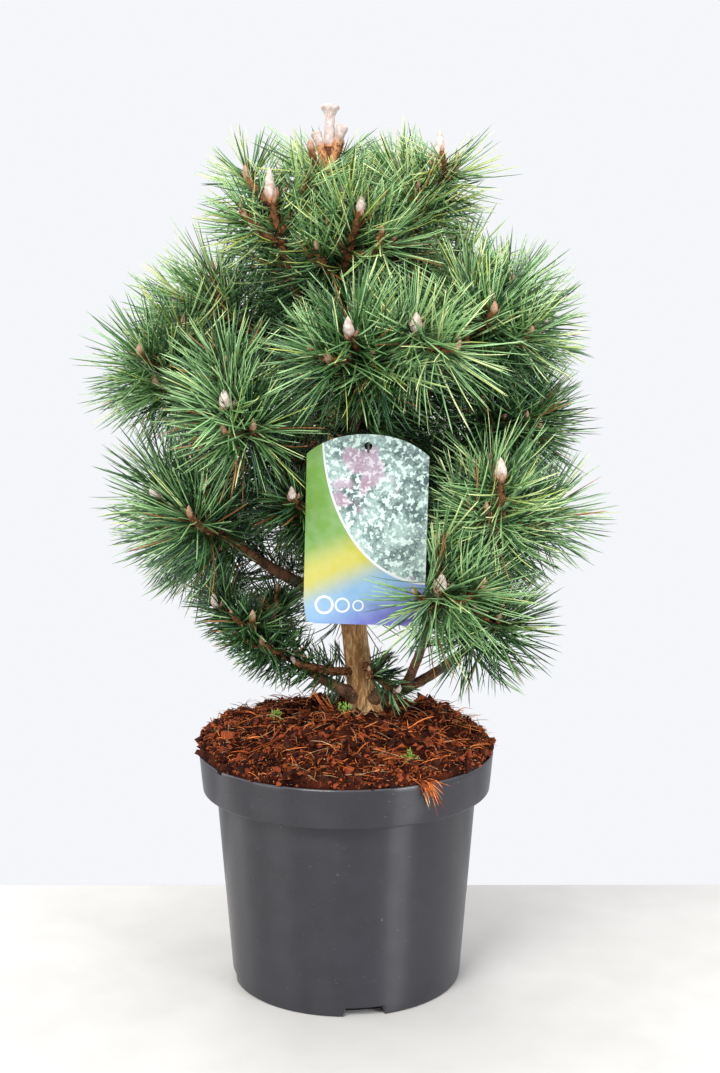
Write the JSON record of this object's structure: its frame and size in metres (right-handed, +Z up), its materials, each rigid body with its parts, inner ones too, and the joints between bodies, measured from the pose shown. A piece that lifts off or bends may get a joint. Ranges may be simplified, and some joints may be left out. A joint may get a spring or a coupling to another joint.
{
  "type": "potted mugo pine",
  "caption": "Young mugo pine with a short leaning trunk, upswept boughs and dense brushes of long needles, in a round plastic nursery pot with a hanging plant label.",
  "frame": {"origin": "centre of the pot's flat underside, on the surface it stands on", "axes": "+Z up through the pot, +X to the right of the side that carries the label, +Y away from that side"},
  "size_m": [0.4355, 0.4269, 0.7383],
  "materials": {
    "pot": "dark grey moulded plastic with a soft sheen",
    "potting_mix": "moist red-brown bark chips, fibres and peat",
    "bark": "rough brown bark with dark flecks",
    "needles": "satin green needles on orange-brown shoots",
    "label": "smooth printed card with a soft sheen",
    "label_tie": "dark coated wire"
  },
  "bodies": {
    "root": {"pot": "pot", "potting_mix": "potting_mix", "trunk": "bark", "bough_low_left": "bark", "bough_mid_left": "bark", "bough_front_left": "bark", "bough_left": "bark", "bough_upper_left": "bark", "bough_top_left": "bark", "bough_front": "bark", "bough_front_centre": "bark", "bough_top_right": "bark", "bough_upper_right": "bark", "bough_right_upper": "bark", "bough_right": "bark", "bough_front_right": "bark", "bough_right_low": "bark", "bough_low_right": "bark", "bough_low_front": "bark", "bough_low_back": "bark", "bough_mid_back_left": "bark", "bough_mid_back": "bark", "bough_mid_back_right": "bark", "bough_back_left": "bark", "bough_back": "bark", "bough_back_right": "bark", "needles_low_left": "needles", "needles_mid_left": "needles", "needles_front_left": "needles", "needles_left": "needles", "needles_upper_left": "needles", "needles_top_left": "needles", "needles_front": "needles", "needles_front_centre": "needles", "needles_top_right": "needles", "needles_upper_right": "needles", "needles_right_upper": "needles", "needles_right": "needles", "needles_front_right": "needles", "needles_right_low": "needles", "needles_low_right": "needles", "needles_low_front": "needles", "needles_low_back": "needles", "needles_mid_back_left": "needles", "needles_mid_back": "needles", "needles_mid_back_right": "needles", "needles_back_left": "needles", "needles_back": "needles", "needles_back_right": "needles", "needles_foot_left": "needles", "needles_foot_right": "needles", "needles_centre_left": "needles", "needles_top_front": "needles", "needles_shoulder": "needles", "needles_upper_back": "needles", "needles_top_back": "needles", "needles_top": "needles", "needles_centre_right": "needles", "label": "label", "label_tie": "label_tie"}
  },
  "joints": []
}
